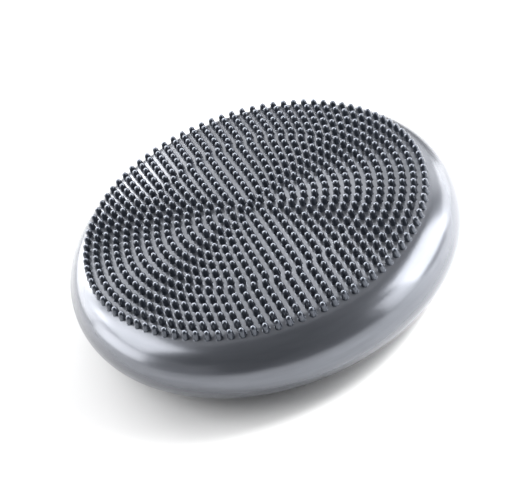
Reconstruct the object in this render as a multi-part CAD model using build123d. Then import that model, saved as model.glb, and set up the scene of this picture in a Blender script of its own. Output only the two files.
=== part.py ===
"""Air-filled balance disc: a shallow double-domed PVC cushion with a full-round rim.

Rings of small massage nubs stand on the top, low round bumps sit on the underside, and a rubber valve
with a pull-out plug is let into the rim at the back.

Row frame: millimetres, +Z up, origin at the centre of the flat foot that the disc rests on.
"""
import os
from math import acos, asin, atan2, cos, degrees, hypot, radians, sin, sqrt

from build123d import *

# Skin
OVERALL_DIAMETER = 330.0
RIM_RADIUS = 31.5            # outside radius of the full-round rim
DOME_RADIUS = 1150.0         # outside radius of the shallow domes, top and bottom
WALL = 3.0
FOOT_RADIUS = 50.0           # the underside is pressed flat this far out by the disc's own weight
SHOULDER_TOP_ANGLE = 24.0    # round the rim from straight up, where the top panel meets the shoulder wall

# Massage nubs on the top
NUB_RINGS = 16
INNER_NUB_RINGS = 10
NUBS_ADDED_PER_RING = 6
NUB_PITCH = 8.875
INNER_START = 0.5            # how far a ring's first nub is off +X, as a share of its step to the next nub
OUTER_START = 1 / 6
NUB_HEIGHT = 6.8
NUB_BASE_RADIUS = 3.0
NUB_TIP_RADIUS = 2.5
NUB_ROOT = 1.5               # extra length that is cut to the slope of the skin

# Low bumps on the underside, outside the flat foot
BUMPS_ADDED_PER_RING = 6
BUMP_PITCH = 13.5
FIRST_BUMP_RING = 6
LAST_BUMP_RING = 9
BUMP_HEIGHT = 1.5
BUMP_BASE_RADIUS = 4.2

# Valve, let into the lower half of the rim at +Y
VALVE_ANGLE = 120.0          # round the rim from straight up, so 30 degrees under the equator
SEAT_RADIUS = 8.0            # recess in the skin that the lip sits in
SEAT_DEPTH = 1.6
LIP_RADIUS = 7.8
LIP_THICKNESS = 1.0
NECK_RADIUS = 5.5
FLANGE_RADIUS = 11.0
FLANGE_DEPTH = 7.0           # from the outside of the skin to the flange's inner face
STEM_RADIUS = 4.5
STEM_DEPTH = 17.0
PLUG_BORE_RADIUS = 2.0
PLUG_CLEARANCE = 0.05
PLUG_STEM_LENGTH = 12.0
PLUG_HEAD_RADIUS = 5.0
PLUG_HEAD_THICKNESS = 1.0
PLUG_EDGE_FILLET = 0.4

# Worked out
RIM_CENTRE = OVERALL_DIAMETER / 2 - RIM_RADIUS
DOME_EDGE_ANGLE = degrees(asin(RIM_CENTRE / (DOME_RADIUS - RIM_RADIUS)))
DOME_CENTRE_DROP = sqrt((DOME_RADIUS - RIM_RADIUS) ** 2 - RIM_CENTRE**2)
MID_Z = sqrt(DOME_RADIUS**2 - FOOT_RADIUS**2) - DOME_CENTRE_DROP
EQUATOR = 90.0


def skin_point(depth, angle):
    """Point of the upper skin, `depth` under its outside, where its normal is `angle` off +Z."""
    normal = Vector(sin(radians(angle)), 0, cos(radians(angle)))
    if angle <= DOME_EDGE_ANGLE:
        return Vector(0, 0, MID_Z - DOME_CENTRE_DROP) + normal * (DOME_RADIUS - depth)
    return Vector(RIM_CENTRE, 0, MID_Z) + normal * (RIM_RADIUS - depth)


def mirrored(point):
    """The same point on the lower half of the disc."""
    return Vector(point.X, point.Y, 2 * MID_Z - point.Z)


def skin_arc(depth, start, end, lower=False):
    """Circular stretch of the skin between two normal angles, on the dome or on the rim."""
    points = [skin_point(depth, angle) for angle in (start, (start + end) / 2, end)]
    if lower:
        points = [mirrored(point) for point in points]
    return ThreePointArc(*points)


def upper_path(depth, end):
    """Section of the upper skin from the axis out to the normal angle `end`."""
    return [skin_arc(depth, 0, DOME_EDGE_ANGLE), skin_arc(depth, DOME_EDGE_ANGLE, end)]


def lower_path(depth):
    """Section of the lower skin from the axis, over the flat foot, out to the equator."""
    dome_radius = DOME_RADIUS - depth
    foot_edge_angle = degrees(acos((MID_Z + DOME_CENTRE_DROP - depth) / dome_radius))
    foot_edge = mirrored(skin_point(depth, foot_edge_angle))
    return [
        Line(Vector(0, 0, depth), foot_edge),
        skin_arc(depth, foot_edge_angle, DOME_EDGE_ANGLE, lower=True),
        skin_arc(depth, DOME_EDGE_ANGLE, EQUATOR, lower=True),
    ]


def wall_between(outside, inside):
    """Wall turned about +Z from its outer and inner section paths, which are joined at both ends."""
    ends = [
        Line(outside[0] @ 0, inside[0] @ 0),
        Line(outside[-1] @ 1, inside[-1] @ 1),
    ]
    return revolve(make_face([*outside, *inside, *ends]), Axis.Z, 360)


def upper_panel():
    return wall_between(upper_path(0, SHOULDER_TOP_ANGLE), upper_path(WALL, SHOULDER_TOP_ANGLE))


def shoulder_wall():
    outside = [skin_arc(0, SHOULDER_TOP_ANGLE, EQUATOR)]
    inside = [skin_arc(WALL, SHOULDER_TOP_ANGLE, EQUATOR)]
    return wall_between(outside, inside)


def air_space():
    """Everything inside the lower skin, up to the equator."""
    path = lower_path(WALL)
    rim = path[-1] @ 1
    centre = Vector(0, 0, MID_Z)
    closing = [Line(rim, centre), Line(centre, path[0] @ 0)]
    return revolve(make_face([*path, *closing]), Axis.Z, 360)


def under_skin():
    """Everything under the outside of the upper skin, down to the equator."""
    path = upper_path(0, EQUATOR)
    centre = Vector(0, 0, MID_Z)
    closing = [Line(path[-1] @ 1, centre), Line(centre, path[0] @ 0)]
    return revolve(make_face([*path, *closing]), Axis.Z, 360)


def valve_place():
    """Local frame on the outside of the rim at +Y, with local +Z pointing out of the skin."""
    angle = radians(VALVE_ANGLE)
    origin = (0, RIM_CENTRE + RIM_RADIUS * sin(angle), MID_Z + RIM_RADIUS * cos(angle))
    return Plane(origin=origin, x_dir=(1, 0, 0), z_dir=(0, sin(angle), cos(angle))).location


def disc(radius, top, bottom):
    """Cylinder about local Z between two heights."""
    return Pos(0, 0, bottom) * Cylinder(radius, top - bottom, align=(Align.CENTER, Align.CENTER, Align.MIN))


def lower_shell():
    shell = wall_between(lower_path(0), lower_path(WALL))
    seat = disc(SEAT_RADIUS, WALL, -SEAT_DEPTH)
    hole = disc(NECK_RADIUS, 0, -2 * WALL)
    return shell - valve_place() * (seat + hole)


def valve_body():
    """Rubber insert: a lip outside, a neck through the skin, a glued flange and a stem inside."""
    lip_top = LIP_THICKNESS - SEAT_DEPTH
    lip_and_neck = disc(LIP_RADIUS, lip_top, -SEAT_DEPTH) + disc(NECK_RADIUS, lip_top, -FLANGE_DEPTH)
    flange = valve_place() * disc(FLANGE_RADIUS, 0, -FLANGE_DEPTH) & air_space()
    stem = disc(STEM_RADIUS, -WALL, -STEM_DEPTH)
    bore = disc(PLUG_BORE_RADIUS, lip_top, lip_top - PLUG_STEM_LENGTH - WALL)
    return valve_place() * (lip_and_neck + stem) + flange - valve_place() * bore


def valve_plug():
    """Stopper whose head rests on the valve's lip and whose stem fills the bore."""
    lip_top = LIP_THICKNESS - SEAT_DEPTH
    head = disc(PLUG_HEAD_RADIUS, lip_top + PLUG_HEAD_THICKNESS, lip_top)
    head = fillet(head.edges().group_by(Axis.Z)[-1], PLUG_EDGE_FILLET)
    stem = disc(PLUG_BORE_RADIUS - PLUG_CLEARANCE, lip_top, lip_top - PLUG_STEM_LENGTH)
    stem = fillet(stem.edges().group_by(Axis.Z)[0], PLUG_BORE_RADIUS / 2)
    return valve_place() * (head + stem)


def nub():
    """Tapered peg along +Z with a round tip, with a straight root under Z = 0."""
    tip_centre = NUB_HEIGHT - NUB_TIP_RADIUS
    reach = hypot(NUB_BASE_RADIUS, tip_centre)
    tangent_angle = acos(NUB_TIP_RADIUS / reach) - atan2(tip_centre, NUB_BASE_RADIUS)

    def tip_point(angle):
        return Vector(NUB_TIP_RADIUS * cos(angle), 0, tip_centre + NUB_TIP_RADIUS * sin(angle))

    quarter_turn = radians(90)
    side_top = tip_point(tangent_angle)
    tip = tip_point(quarter_turn)
    outline = [
        Line((0, 0, -NUB_ROOT), (NUB_BASE_RADIUS, 0, -NUB_ROOT)),
        Line((NUB_BASE_RADIUS, 0, -NUB_ROOT), (NUB_BASE_RADIUS, 0, 0)),
        Line((NUB_BASE_RADIUS, 0, 0), side_top),
        ThreePointArc(side_top, tip_point((tangent_angle + quarter_turn) / 2), tip),
        Line(tip, (0, 0, -NUB_ROOT)),
    ]
    return revolve(make_face(outline), Axis.Z, 360)


def bump():
    """Low spherical cap along +Z, standing on Z = 0."""
    cap_radius = (BUMP_BASE_RADIUS**2 + BUMP_HEIGHT**2) / (2 * BUMP_HEIGHT)
    half_angle = asin(BUMP_BASE_RADIUS / cap_radius) / 2
    middle = (cap_radius * sin(half_angle), 0, BUMP_HEIGHT - cap_radius * (1 - cos(half_angle)))
    outline = [
        Line((0, 0, 0), (BUMP_BASE_RADIUS, 0, 0)),
        ThreePointArc((BUMP_BASE_RADIUS, 0, 0), middle, (0, 0, BUMP_HEIGHT)),
        Line((0, 0, BUMP_HEIGHT), (0, 0, 0)),
    ]
    return revolve(make_face(outline), Axis.Z, 360)


def normal_angle(radius):
    """Angle off vertical of the skin's normal at this distance from the axis."""
    dome_angle = degrees(asin(radius / DOME_RADIUS))
    if dome_angle <= DOME_EDGE_ANGLE:
        return dome_angle
    return degrees(asin((radius - RIM_CENTRE) / RIM_RADIUS))


def copied_round(first, count, start=0):
    """`count` copies of a piece about +Z, turned on by the share `start` of the step between them."""
    return Compound([Rot(0, 0, 360 * (step + start) / count) * first for step in range(count)])


def standing_nub(ring):
    """Nub of this ring, parallel to +Z and over +X, with its foot cut to the slope of the skin."""
    angle = normal_angle(ring * NUB_PITCH)
    return Pos(skin_point(0, angle)) * nub() - under_skin()


def hanging_bump(radius):
    """Bump square to the underside at this distance from the axis, over +X."""
    angle = normal_angle(radius)
    outward = Vector(sin(radians(angle)), 0, -cos(radians(angle)))
    return Plane(origin=mirrored(skin_point(0, angle)), x_dir=(0, 1, 0), z_dir=outward).location * bump()


def nodes():
    """Every sub-part by its name."""
    parts = {
        "upper_panel": upper_panel(),
        "shoulder_wall": shoulder_wall(),
        "lower_shell": lower_shell(),
        "valve_body": valve_body(),
        "valve_plug": valve_plug(),
        "nub_centre": standing_nub(0),
    }
    for ring in range(1, NUB_RINGS + 1):
        start = INNER_START if ring <= INNER_NUB_RINGS else OUTER_START
        parts[f"nub_ring_{ring:02d}"] = copied_round(standing_nub(ring), ring * NUBS_ADDED_PER_RING, start)
    for ring in range(FIRST_BUMP_RING, LAST_BUMP_RING + 1):
        name = f"underside_bump_ring_{ring - FIRST_BUMP_RING + 1:02d}"
        parts[name] = copied_round(hanging_bump(ring * BUMP_PITCH), ring * BUMPS_ADDED_PER_RING)
    return parts


os.makedirs("parts", exist_ok=True)
for node_name, shape in nodes().items():
    export_step(shape, f"parts/{node_name}.step")
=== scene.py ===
"""Looks of the air-filled balance disc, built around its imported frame. All lengths are in metres."""
import math

import bpy
from mathutils import Matrix, Vector


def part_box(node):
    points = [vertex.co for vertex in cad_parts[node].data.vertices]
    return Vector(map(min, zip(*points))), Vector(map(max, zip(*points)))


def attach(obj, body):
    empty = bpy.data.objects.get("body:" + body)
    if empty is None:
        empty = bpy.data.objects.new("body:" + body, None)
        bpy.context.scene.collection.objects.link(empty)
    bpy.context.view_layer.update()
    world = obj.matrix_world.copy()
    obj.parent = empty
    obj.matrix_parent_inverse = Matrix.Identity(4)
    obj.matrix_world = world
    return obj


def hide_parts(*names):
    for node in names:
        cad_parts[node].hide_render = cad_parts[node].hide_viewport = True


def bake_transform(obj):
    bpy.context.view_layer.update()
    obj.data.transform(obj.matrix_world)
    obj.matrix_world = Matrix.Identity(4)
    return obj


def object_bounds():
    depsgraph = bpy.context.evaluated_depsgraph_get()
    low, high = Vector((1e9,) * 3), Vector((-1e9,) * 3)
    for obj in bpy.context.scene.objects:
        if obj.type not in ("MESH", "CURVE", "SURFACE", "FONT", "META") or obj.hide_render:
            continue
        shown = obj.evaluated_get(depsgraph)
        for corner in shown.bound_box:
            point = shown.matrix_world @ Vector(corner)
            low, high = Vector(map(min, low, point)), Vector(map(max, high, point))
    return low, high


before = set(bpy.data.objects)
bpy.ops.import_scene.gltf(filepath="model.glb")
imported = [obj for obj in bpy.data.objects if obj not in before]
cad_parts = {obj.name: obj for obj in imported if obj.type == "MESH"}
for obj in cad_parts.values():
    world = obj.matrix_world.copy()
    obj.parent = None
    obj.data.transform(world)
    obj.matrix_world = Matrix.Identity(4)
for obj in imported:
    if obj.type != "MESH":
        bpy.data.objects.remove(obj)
cad_low, cad_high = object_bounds()

MM = 0.001

# ---------------------------------------------------------------- sizes, from the frame and the design
OUTSIDE_RADIUS = cad_high.x
EQUATOR_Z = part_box("lower_shell")[1].z
RIM_RADIUS = 31.5 * MM
DOME_RADIUS = 1150 * MM
FOOT_RADIUS = 50 * MM
RIM_CENTRE = OUTSIDE_RADIUS - RIM_RADIUS
DOME_EDGE = math.asin(RIM_CENTRE / (DOME_RADIUS - RIM_RADIUS))
DOME_DROP = math.sqrt((DOME_RADIUS - RIM_RADIUS) ** 2 - RIM_CENTRE**2)
FOOT_EDGE = math.asin(FOOT_RADIUS / DOME_RADIUS)

NUB_RINGS = 16
INNER_NUB_RINGS = 10
NUB_START_INNER = 0.5                # how far a ring's first nub is off +X, as a share of its step
NUB_START_OUTER = 1 / 6
NUB_PITCH = 8.875 * MM
NUB_HEIGHT = 6.8 * MM
NUB_BASE_RADIUS = 3.0 * MM
NUB_TIP_RADIUS = 2.5 * MM
NUB_FILLET = 0.25 * MM
BUMP_RINGS = range(6, 10)
BUMP_PITCH = 13.5 * MM
BUMP_HEIGHT = 1.5 * MM
BUMP_BASE_RADIUS = 3.9 * MM
BUMP_FILLET = 0.6 * MM
PIECES_ADDED_PER_RING = 6

VALVE_ANGLE = math.radians(120)      # round the rim from straight up

# The valve's own sizes are in millimetres, and its heights count outward from the skin.
SEAT_RADIUS = 8.0
SEAT_DEPTH = 1.6
WELL_RADIUS = 3
WELL_DEPTH = 16.5
LIP_RADIUS = 7.8
LIP_TOP = 1 - SEAT_DEPTH
NECK_RADIUS = 5.5
FLANGE_RADIUS = 11
FLANGE_DEPTH = 7
STEM_RADIUS = 4.5
STEM_DEPTH = 17
BORE_RADIUS = 2
BORE_DEPTH = 15.6
PLUG_STEM_RADIUS = 1.95
PLUG_STEM_LENGTH = 12
PLUG_HEAD_RADIUS = 5
PLUG_HEAD_THICKNESS = 1
SOFT_EDGE = 0.4

SHARP_ANGLE = math.radians(35)       # a steeper edge of the valve or its seat is shaded as an edge

# How many flats go round each turned shape
SKIN_SEGMENTS = 288
NUB_SEGMENTS = 20
BUMP_SEGMENTS = 24
VALVE_SEGMENTS = 64
FLOOR_SEGMENTS = 96

# ---------------------------------------------------------------- camera
CAMERA_AZIMUTH = math.radians(19.9)
CAMERA_ELEVATION = math.radians(36.75)
CAMERA_ROLL = math.radians(19.35)
CAMERA_DISTANCE = 1.588
CAMERA_LENS = 136.7
AIM_RIGHT = 8.6 * MM                 # the middle of the picture, seen from the centre nub's tip
AIM_DOWN = 39.3 * MM

# ---------------------------------------------------------------- studio
TENT_RADIUS = 2.4                    # distance of most lights from the disc
FLOOR_RADIUS = 0.8
FLOOR_GAP = 0.1 * MM


def camera_axes():
    """Level right, level up and backward directions of the camera, before its roll."""
    across = Vector((math.cos(CAMERA_AZIMUTH), math.sin(CAMERA_AZIMUTH), 0))
    toward = Vector((math.sin(CAMERA_AZIMUTH), -math.cos(CAMERA_AZIMUTH), 0))
    back = toward * math.cos(CAMERA_ELEVATION) + Vector((0, 0, math.sin(CAMERA_ELEVATION)))
    return across, back.cross(across), back


def make_camera():
    across, up, back = camera_axes()
    rolled_right = across * math.cos(CAMERA_ROLL) - up * math.sin(CAMERA_ROLL)
    rolled_up = across * math.sin(CAMERA_ROLL) + up * math.cos(CAMERA_ROLL)
    tip = Vector((0, 0, skin_height(0) + NUB_HEIGHT))
    place = tip + back * CAMERA_DISTANCE
    aim = tip + rolled_right * AIM_RIGHT - rolled_up * AIM_DOWN
    backward = (place - aim).normalized()
    right = (rolled_right - backward * rolled_right.dot(backward)).normalized()
    turn = Matrix((right, backward.cross(right), backward)).transposed()
    data = bpy.data.cameras.new("camera")
    data.lens = CAMERA_LENS
    data.sensor_width = 36
    data.clip_end = 50
    camera = bpy.data.objects.new("camera", data)
    camera.matrix_world = Matrix.Translation(place) @ turn.to_4x4()
    bpy.context.scene.collection.objects.link(camera)
    bpy.context.scene.camera = camera


# ---------------------------------------------------------------- mesh helpers
def new_object(name, verts, faces):
    mesh = bpy.data.meshes.new(name)
    mesh.from_pydata([tuple(v) for v in verts], [], faces)
    mesh.shade_smooth()
    piece = bpy.data.objects.new(name, mesh)
    bpy.context.scene.collection.objects.link(piece)
    return piece


def lathe(profile, segments):
    """Vertices and faces of a profile of (radius, height) points turned about Z.

    A point on the axis becomes one vertex that closes the shape.
    """
    verts = []
    rows = []
    faces = []
    for radius, height in profile:
        count = 1 if radius < 1e-9 else segments
        rows.append(range(len(verts), len(verts) + count))
        for step in range(count):
            turn = 2 * math.pi * step / segments
            verts.append(Vector((radius * math.cos(turn), radius * math.sin(turn), height)))
    for low, high in zip(rows, rows[1:]):
        for step in range(segments):
            after = (step + 1) % segments
            if len(low) == 1:
                faces.append((low[0], high[after], high[step]))
            elif len(high) == 1:
                faces.append((low[step], low[after], high[0]))
            else:
                faces.append((low[step], low[after], high[after], high[step]))
    return verts, faces


def arc(centre, radius, start, end, steps):
    """Points (radius, height) along an arc; angles are measured from straight up, in radians."""
    points = []
    for step in range(steps + 1):
        angle = start + (end - start) * step / steps
        points.append((centre[0] + radius * math.sin(angle), centre[1] + radius * math.cos(angle)))
    return points


def joined(*stretches):
    """One profile from several stretches, without the point that two of them share."""
    points = []
    for stretch in stretches:
        for point in stretch:
            if not points or math.dist(points[-1], point) > 1e-7:
                points.append(point)
    return points


def skin_height(radius):
    """Height of the upper skin at this distance from the axis."""
    if radius < DOME_RADIUS * math.sin(DOME_EDGE):
        return EQUATOR_Z - DOME_DROP + math.sqrt(DOME_RADIUS**2 - radius**2)
    return EQUATOR_Z + math.sqrt(RIM_RADIUS**2 - (radius - RIM_CENTRE) ** 2)


def ring_of(name, profile, segments, radius, count, height, start=0.0, lower=False):
    """One object that holds `count` copies of a lathed profile, upright in a ring on the skin.

    `start` is how far the first copy is off +X, as a share of the step to the next one. The foot of each
    copy follows the slope of the skin, and its tip, `height` above, stays level.
    """
    shape, shape_faces = lathe(profile, segments)
    centre_height = skin_height(radius)
    seated = []
    for v in shape:
        slope = skin_height(math.hypot(radius + v.x, v.y)) - centre_height
        lift = min(max(v.z / height, 0), 1)
        seated.append(Vector((radius + v.x, v.y, centre_height + v.z + slope * (1 - lift))))
    if lower:
        seated = [Vector((v.x, v.y, 2 * EQUATOR_Z - v.z)) for v in seated]
        shape_faces = [tuple(reversed(face)) for face in shape_faces]
    verts = []
    faces = []
    for step in range(count):
        place = Matrix.Rotation(2 * math.pi * (step + start) / count, 4, "Z")
        first = len(verts)
        verts += [place @ v for v in seated]
        faces += [tuple(first + i for i in face) for face in shape_faces]
    return new_object(name, verts, faces)


# ---------------------------------------------------------------- materials
def new_material(name):
    made = bpy.data.materials.new(name)
    made.use_nodes = True
    tree = made.node_tree
    return made, tree, tree.nodes["Principled BSDF"]


def node(tree, kind, **values):
    made = tree.nodes.new(kind)
    for key, value in values.items():
        if key in made.inputs:
            made.inputs[key].default_value = value
        else:
            setattr(made, key, value)
    return made


def noise(tree, vector, scale, detail=2.0):
    made = node(tree, "ShaderNodeTexNoise", Scale=scale, Detail=detail)
    tree.links.new(vector, made.inputs["Vector"])
    return made.outputs["Fac"]


def stretched(tree, scale):
    """Object coordinates scaled by axis, so that a noise in them is drawn out."""
    where = tree.nodes.new("ShaderNodeTexCoord")
    mapping = node(tree, "ShaderNodeMapping")
    mapping.inputs["Scale"].default_value = scale
    tree.links.new(where.outputs["Object"], mapping.inputs["Vector"])
    return mapping.outputs["Vector"]


def between(tree, factor, low, high):
    """The factor's usual span, eased at both ends, spread over low to high."""
    made = node(tree, "ShaderNodeMapRange", interpolation_type="SMOOTHSTEP")
    made.inputs["From Min"].default_value = 0.25
    made.inputs["From Max"].default_value = 0.75
    made.inputs["To Min"].default_value = low
    made.inputs["To Max"].default_value = high
    tree.links.new(factor, made.inputs["Value"])
    return made.outputs["Result"]


def colour_between(tree, factor, low, high):
    made = node(tree, "ShaderNodeMix", data_type="RGBA")
    made.inputs["A"].default_value = (*low, 1)
    made.inputs["B"].default_value = (*high, 1)
    tree.links.new(factor, made.inputs["Factor"])
    return made.outputs["Result"]


def pearl_pvc(name, dark, light, roughness):
    """Silver-grey pearl PVC: a metallic pigment under a clear glossy skin, with faint moulding streaks."""
    made, tree, shader = new_material(name)
    shader.inputs["Metallic"].default_value = 0.58
    shader.inputs["Coat Weight"].default_value = 0.3
    shader.inputs["Coat Roughness"].default_value = 0.12
    plain = stretched(tree, (1, 1, 1))
    level = stretched(tree, (1, 1, 10))
    streaks = between(tree, noise(tree, level, 22, 3), 0, 1)
    tree.links.new(colour_between(tree, streaks, dark, light), shader.inputs["Base Color"])
    shader.inputs["Roughness"].default_value = roughness
    bump = node(tree, "ShaderNodeBump", Strength=0.12, Distance=0.0003)
    tree.links.new(noise(tree, plain, 420, 2), bump.inputs["Height"])
    tree.links.new(bump.outputs["Normal"], shader.inputs["Normal"])
    return made


def soft_plastic(name, dark, light, roughness, grain):
    """Matt rubber or plastic with a fine mottle and an uneven gloss."""
    made, tree, shader = new_material(name)
    plain = stretched(tree, (1, 1, 1))
    mottle = between(tree, noise(tree, plain, grain, 3), 0, 1)
    tree.links.new(colour_between(tree, mottle, dark, light), shader.inputs["Base Color"])
    gloss = between(tree, noise(tree, plain, grain * 2), roughness - 0.08, roughness + 0.08)
    tree.links.new(gloss, shader.inputs["Roughness"])
    bump = node(tree, "ShaderNodeBump", Strength=0.2, Distance=0.0001)
    tree.links.new(noise(tree, plain, grain * 4), bump.inputs["Height"])
    tree.links.new(bump.outputs["Normal"], shader.inputs["Normal"])
    return made


def floor_material():
    made, tree, shader = new_material("floor_white")
    shader.inputs["Base Color"].default_value = (0.7, 0.7, 0.7, 1)
    shader.inputs["Roughness"].default_value = 0.7
    shader.inputs["Specular IOR Level"].default_value = 0.1
    return made


# ---------------------------------------------------------------- the pieces
def dress(piece, material, node_name, body):
    """The piece takes this material and finish, stands for this CAD node and rides on this body."""
    piece.data.materials.append(material)
    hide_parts(node_name)
    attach(piece, body)


def make_skin(material):
    """The one-piece air shell: flat foot, shallow lower dome, full-round rim and shallow upper dome."""
    dome_low = (0, EQUATOR_Z + DOME_DROP)
    dome_high = (0, EQUATOR_Z - DOME_DROP)
    rim = (RIM_CENTRE, EQUATOR_Z)
    half_turn = math.pi
    foot_steps = 12
    foot = [(FOOT_RADIUS * step / foot_steps, cad_low.z) for step in range(foot_steps + 1)]
    profile = joined(
        foot,
        arc(dome_low, DOME_RADIUS, half_turn - FOOT_EDGE, half_turn - DOME_EDGE, steps=30),
        arc(rim, RIM_RADIUS, half_turn - DOME_EDGE, DOME_EDGE, steps=72),
        arc(dome_high, DOME_RADIUS, DOME_EDGE, 0, steps=48),
    )
    verts, faces = lathe(profile, SKIN_SEGMENTS)
    skin = new_object("skin", verts, faces)
    cut_valve_seat(skin)
    skin.data.materials.append(material)
    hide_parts("upper_panel", "shoulder_wall", "lower_shell")
    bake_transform(skin)


def seated_profile(base, fillet, side_lean, above):
    """Profile of a moulded knob: a closed foot just under the skin, a fillet off the skin, then `above`."""
    sunk = 0.2 * MM
    skirt = 0.4 * MM
    foot = arc((base + fillet, fillet), fillet, math.pi, math.pi * 1.5 + side_lean, steps=5)
    return joined([(0, -sunk), (base + fillet + skirt, -sunk / 2)], foot, above)


def make_nubs(material):
    """The massage nubs, one object for each ring of them."""
    tip_centre = NUB_HEIGHT - NUB_TIP_RADIUS
    lean = math.atan((NUB_BASE_RADIUS - NUB_TIP_RADIUS) / tip_centre)
    head = arc((0, tip_centre), NUB_TIP_RADIUS, math.pi / 2 - lean, 0, steps=8)
    profile = seated_profile(NUB_BASE_RADIUS, NUB_FILLET, lean, head)
    made = []
    for ring in range(NUB_RINGS + 1):
        node_name = f"nub_ring_{ring:02d}" if ring else "nub_centre"
        count = PIECES_ADDED_PER_RING * ring if ring else 1
        start = NUB_START_INNER if ring <= INNER_NUB_RINGS else NUB_START_OUTER
        radius = ring * NUB_PITCH
        nubs = ring_of(f"{node_name}_soft", profile, NUB_SEGMENTS, radius, count, NUB_HEIGHT, start)
        dress(nubs, material, node_name, "top")
        made.append(nubs)
    return made


def make_bumps(material):
    """The low bumps of the underside, one object for each ring of them."""
    cap = (BUMP_BASE_RADIUS**2 + BUMP_HEIGHT**2) / (2 * BUMP_HEIGHT)
    edge = math.asin(BUMP_BASE_RADIUS / cap)
    fillet_starts = edge * 0.9
    dome = arc((0, BUMP_HEIGHT - cap), cap, fillet_starts, 0, steps=8)
    profile = seated_profile(BUMP_BASE_RADIUS, BUMP_FILLET, math.pi / 4, dome)
    for place, ring in enumerate(BUMP_RINGS, start=1):
        node_name = f"underside_bump_ring_{place:02d}"
        count = PIECES_ADDED_PER_RING * ring
        radius = ring * BUMP_PITCH
        bumps = ring_of(f"{node_name}_soft", profile, BUMP_SEGMENTS, radius, count, BUMP_HEIGHT, lower=True)
        dress(bumps, material, node_name, "base")


def at_valve(name, profile):
    """Object turned about the valve's axis; heights in its profile count outward from the skin."""
    out = Vector((0, math.sin(VALVE_ANGLE), math.cos(VALVE_ANGLE)))
    origin = Vector((0, RIM_CENTRE, EQUATOR_Z)) + out * RIM_RADIUS
    turn = Matrix((Vector((1, 0, 0)), out.cross(Vector((1, 0, 0))), out)).transposed()
    verts, faces = lathe(profile, VALVE_SEGMENTS)
    piece = new_object(name, [origin + turn @ v for v in verts], faces)
    piece.data.set_sharp_from_angle(angle=SHARP_ANGLE)
    return piece


def rounded(centre, radius, start, end, steps=4):
    """Stretch of a profile: an arc given in millimetres and degrees."""
    place = (centre[0] * MM, centre[1] * MM)
    return arc(place, radius * MM, math.radians(start), math.radians(end), steps)


def in_mm(*points):
    """Stretch of a profile: straight runs between points given in millimetres."""
    return [(radius * MM, height * MM) for radius, height in points]


def cut_valve_seat(skin):
    """Sink a seat with a soft edge for the valve's lip, and a well for its bore, into the skin."""
    rim = 0.9
    proud = 0.1
    flare = 1.4
    cutter_top = 3
    cutter = at_valve("valve_seat_cutter", joined(
        in_mm((0, -WELL_DEPTH), (WELL_RADIUS, -WELL_DEPTH), (WELL_RADIUS, -SEAT_DEPTH)),
        rounded((SEAT_RADIUS - SOFT_EDGE, SOFT_EDGE - SEAT_DEPTH), SOFT_EDGE, 180, 90),
        rounded((SEAT_RADIUS + rim, proud - rim), rim, -90, 0),
        in_mm((SEAT_RADIUS + flare, cutter_top), (0, cutter_top)),
    ))
    cut = skin.modifiers.new("seat", "BOOLEAN")
    cut.object = cutter
    cut.solver = "EXACT"
    seated = bpy.data.meshes.new_from_object(skin.evaluated_get(bpy.context.evaluated_depsgraph_get()))
    skin.modifiers.clear()
    skin.data = seated
    skin.data.shade_smooth()
    skin.data.set_sharp_from_angle(angle=SHARP_ANGLE)
    bpy.data.objects.remove(cutter)


def make_valve_body(rubber):
    """Rubber insert: a soft lip, a neck through the skin, and a flange and stem inside."""
    flange_edge = -4.6
    flange_root = -3.2
    body = at_valve("valve_body_soft", joined(
        in_mm((0, -STEM_DEPTH), (STEM_RADIUS - SOFT_EDGE, -STEM_DEPTH)),
        in_mm((STEM_RADIUS, SOFT_EDGE - STEM_DEPTH), (STEM_RADIUS, -FLANGE_DEPTH)),
        in_mm((FLANGE_RADIUS, -FLANGE_DEPTH), (FLANGE_RADIUS, flange_edge)),
        in_mm((NECK_RADIUS, flange_root), (NECK_RADIUS, -SEAT_DEPTH), (LIP_RADIUS, -SEAT_DEPTH)),
        rounded((LIP_RADIUS - SOFT_EDGE, LIP_TOP - SOFT_EDGE), SOFT_EDGE, 90, 0),
        rounded((BORE_RADIUS + SOFT_EDGE, LIP_TOP - SOFT_EDGE), SOFT_EDGE, 0, -90),
        in_mm((BORE_RADIUS, -BORE_DEPTH), (0, -BORE_DEPTH)),
    ))
    dress(body, rubber, "valve_body", "base")


def make_valve_plug(plastic):
    """Stopper: a stem with a round end, and a dished head that rests on the lip."""
    stem_end = 1
    under_edge = 0.3
    dish_start = 3.2
    dish_edge = 2
    dish_depth = 0.25
    head_top = LIP_TOP + PLUG_HEAD_THICKNESS
    plug = at_valve("valve_plug_soft", joined(
        rounded((PLUG_STEM_RADIUS - stem_end, LIP_TOP - PLUG_STEM_LENGTH + stem_end), stem_end, 180, 90),
        in_mm((PLUG_STEM_RADIUS, LIP_TOP)),
        rounded((PLUG_HEAD_RADIUS - under_edge, LIP_TOP + under_edge), under_edge, 180, 90),
        rounded((PLUG_HEAD_RADIUS - SOFT_EDGE, head_top - SOFT_EDGE), SOFT_EDGE, 90, 0),
        rounded((dish_start, head_top + dish_edge), dish_edge, 180, 200, steps=3),
        in_mm((0, head_top - dish_depth)),
    ))
    dress(plug, plastic, "valve_plug", "plug")


# ---------------------------------------------------------------- the studio
def make_floor():
    """A round white floor, a hair under the foot so that the two don't share a plane."""
    verts, faces = lathe([(0, 0), (FLOOR_RADIUS, 0)], FLOOR_SEGMENTS)
    floor = new_object("floor", verts, faces)
    floor.location.z = -FLOOR_GAP
    floor.data.materials.append(floor_material())
    return floor


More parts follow.
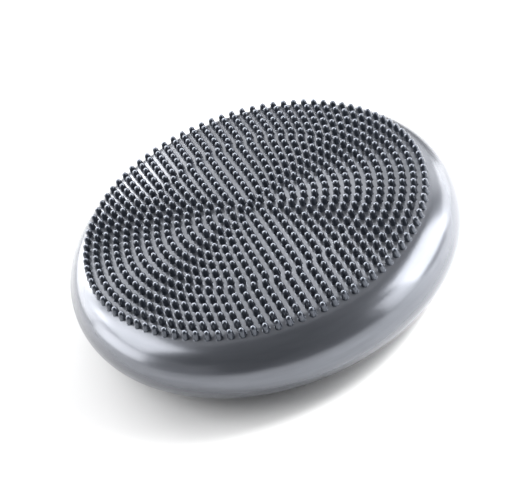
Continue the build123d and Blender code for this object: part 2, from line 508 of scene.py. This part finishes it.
def softbox(name, azimuth, elevation, width, height, radiance, distance=TENT_RADIUS):
    """Rectangular light aimed at the disc, from angles in degrees.

    The azimuth is counted from the camera's, positive to the picture's right.
    """
    turn = CAMERA_AZIMUTH + math.radians(azimuth)
    lift = math.radians(elevation)
    toward = Vector((math.sin(turn) * math.cos(lift), -math.cos(turn) * math.cos(lift), math.sin(lift)))
    data = bpy.data.lights.new(name, "AREA")
    data.shape = "RECTANGLE"
    data.size = width
    data.size_y = height
    data.energy = radiance * math.pi * width * height
    light = bpy.data.objects.new(name, data)
    light.location = toward * distance + Vector((0, 0, EQUATOR_Z))
    light.rotation_euler = toward.to_track_quat("Z", "Y").to_euler()
    bpy.context.scene.collection.objects.link(light)
    return light


def make_lights(floor, nubs):
    """A bright window to the right and a white tent behind and to the left; open and dark in front."""
    softbox("window", 88, 25, 1.8, 1.8, 8.5)
    softbox("window_front_edge", 60, 14, 1.1, 1.4, 4.6)
    softbox("window_back_edge", 119, 5, 1.6, 0.9, 4.8)
    softbox("back", -167, 41, 1.9, 1.7, 2.1)
    softbox("back_right_high", 152, 41, 1.6, 1.7, 1.4)
    softbox("back_right_low", 141, 19, 1.2, 0.9, 2.3)
    softbox("overhead", 180, 82, 2.6, 1.0, 0.7)
    softbox("back_left_low", -138, 15, 1.6, 1.3, 5.3)
    softbox("back_left_streak", -157, 21, 1.3, 0.6, 9)
    softbox("left_low", -100, 9, 1.5, 0.9, 6)
    softbox("left_high", -106, 38, 1.8, 1.3, 6)
    softbox("left_front", -62, 9, 1.5, 0.9, 0.5)
    light_only([floor], softbox("floor_light", -150, 75, 2.6, 2.6, 0.6, distance=2.6), casts_shadows=False)
    light_only([floor], softbox("floor_by_window", 86, 40, 0.3, 0.3, 40, distance=0.7))
    for azimuth in (-140, 180, 140):
        strip = softbox(f"nub_strip_{azimuth}", azimuth, 52, 1.7, 0.6, 15)
        light_only(nubs, strip, casts_shadows=False)


def light_only(pieces, light, casts_shadows=True):
    """Keep a light to these pieces. With `casts_shadows` off, no other piece shades them from it."""
    listed = bpy.data.collections.new(f"lit_by_{light.name}")
    for piece in pieces:
        listed.objects.link(piece)
    light.light_linking.receiver_collection = listed
    if not casts_shadows:
        light.light_linking.blocker_collection = listed


def make_world():
    """White to the camera and dim to everything else, so that the dark studio shows in the gloss."""
    world = bpy.data.worlds.new("studio")
    world.use_nodes = True
    tree = world.node_tree
    path = tree.nodes.new("ShaderNodeLightPath")
    seen = tree.nodes.new("ShaderNodeMix")
    seen.data_type = "RGBA"
    seen.inputs["A"].default_value = (0.03, 0.032, 0.038, 1)
    seen.inputs["B"].default_value = (1, 1, 1, 1)
    tree.links.new(path.outputs["Is Camera Ray"], seen.inputs["Factor"])
    tree.links.new(seen.outputs["Result"], tree.nodes["Background"].inputs["Color"])
    bpy.context.scene.world = world


make_camera()
pvc = pearl_pvc("pearl_pvc", (0.124, 0.132, 0.151), (0.144, 0.152, 0.173), 0.26)
make_skin(pvc)
# The nubs are the skin's own pearl PVC. This copy is painted darker: painted shade for the shade that falls
# between the close-set nubs.
all_nubs = make_nubs(pearl_pvc("nub_pvc_painted_shade", (0.052, 0.060, 0.076), (0.062, 0.070, 0.088), 0.22))
make_bumps(pvc)
make_valve_body(soft_plastic("valve_rubber", (0.018, 0.018, 0.02), (0.03, 0.03, 0.032), 0.6, 300))
make_valve_plug(soft_plastic("valve_plug", (0.05, 0.05, 0.055), (0.07, 0.07, 0.075), 0.45, 300))
make_lights(make_floor(), all_nubs)
make_world()
bpy.context.scene.view_settings.view_transform = "Standard"
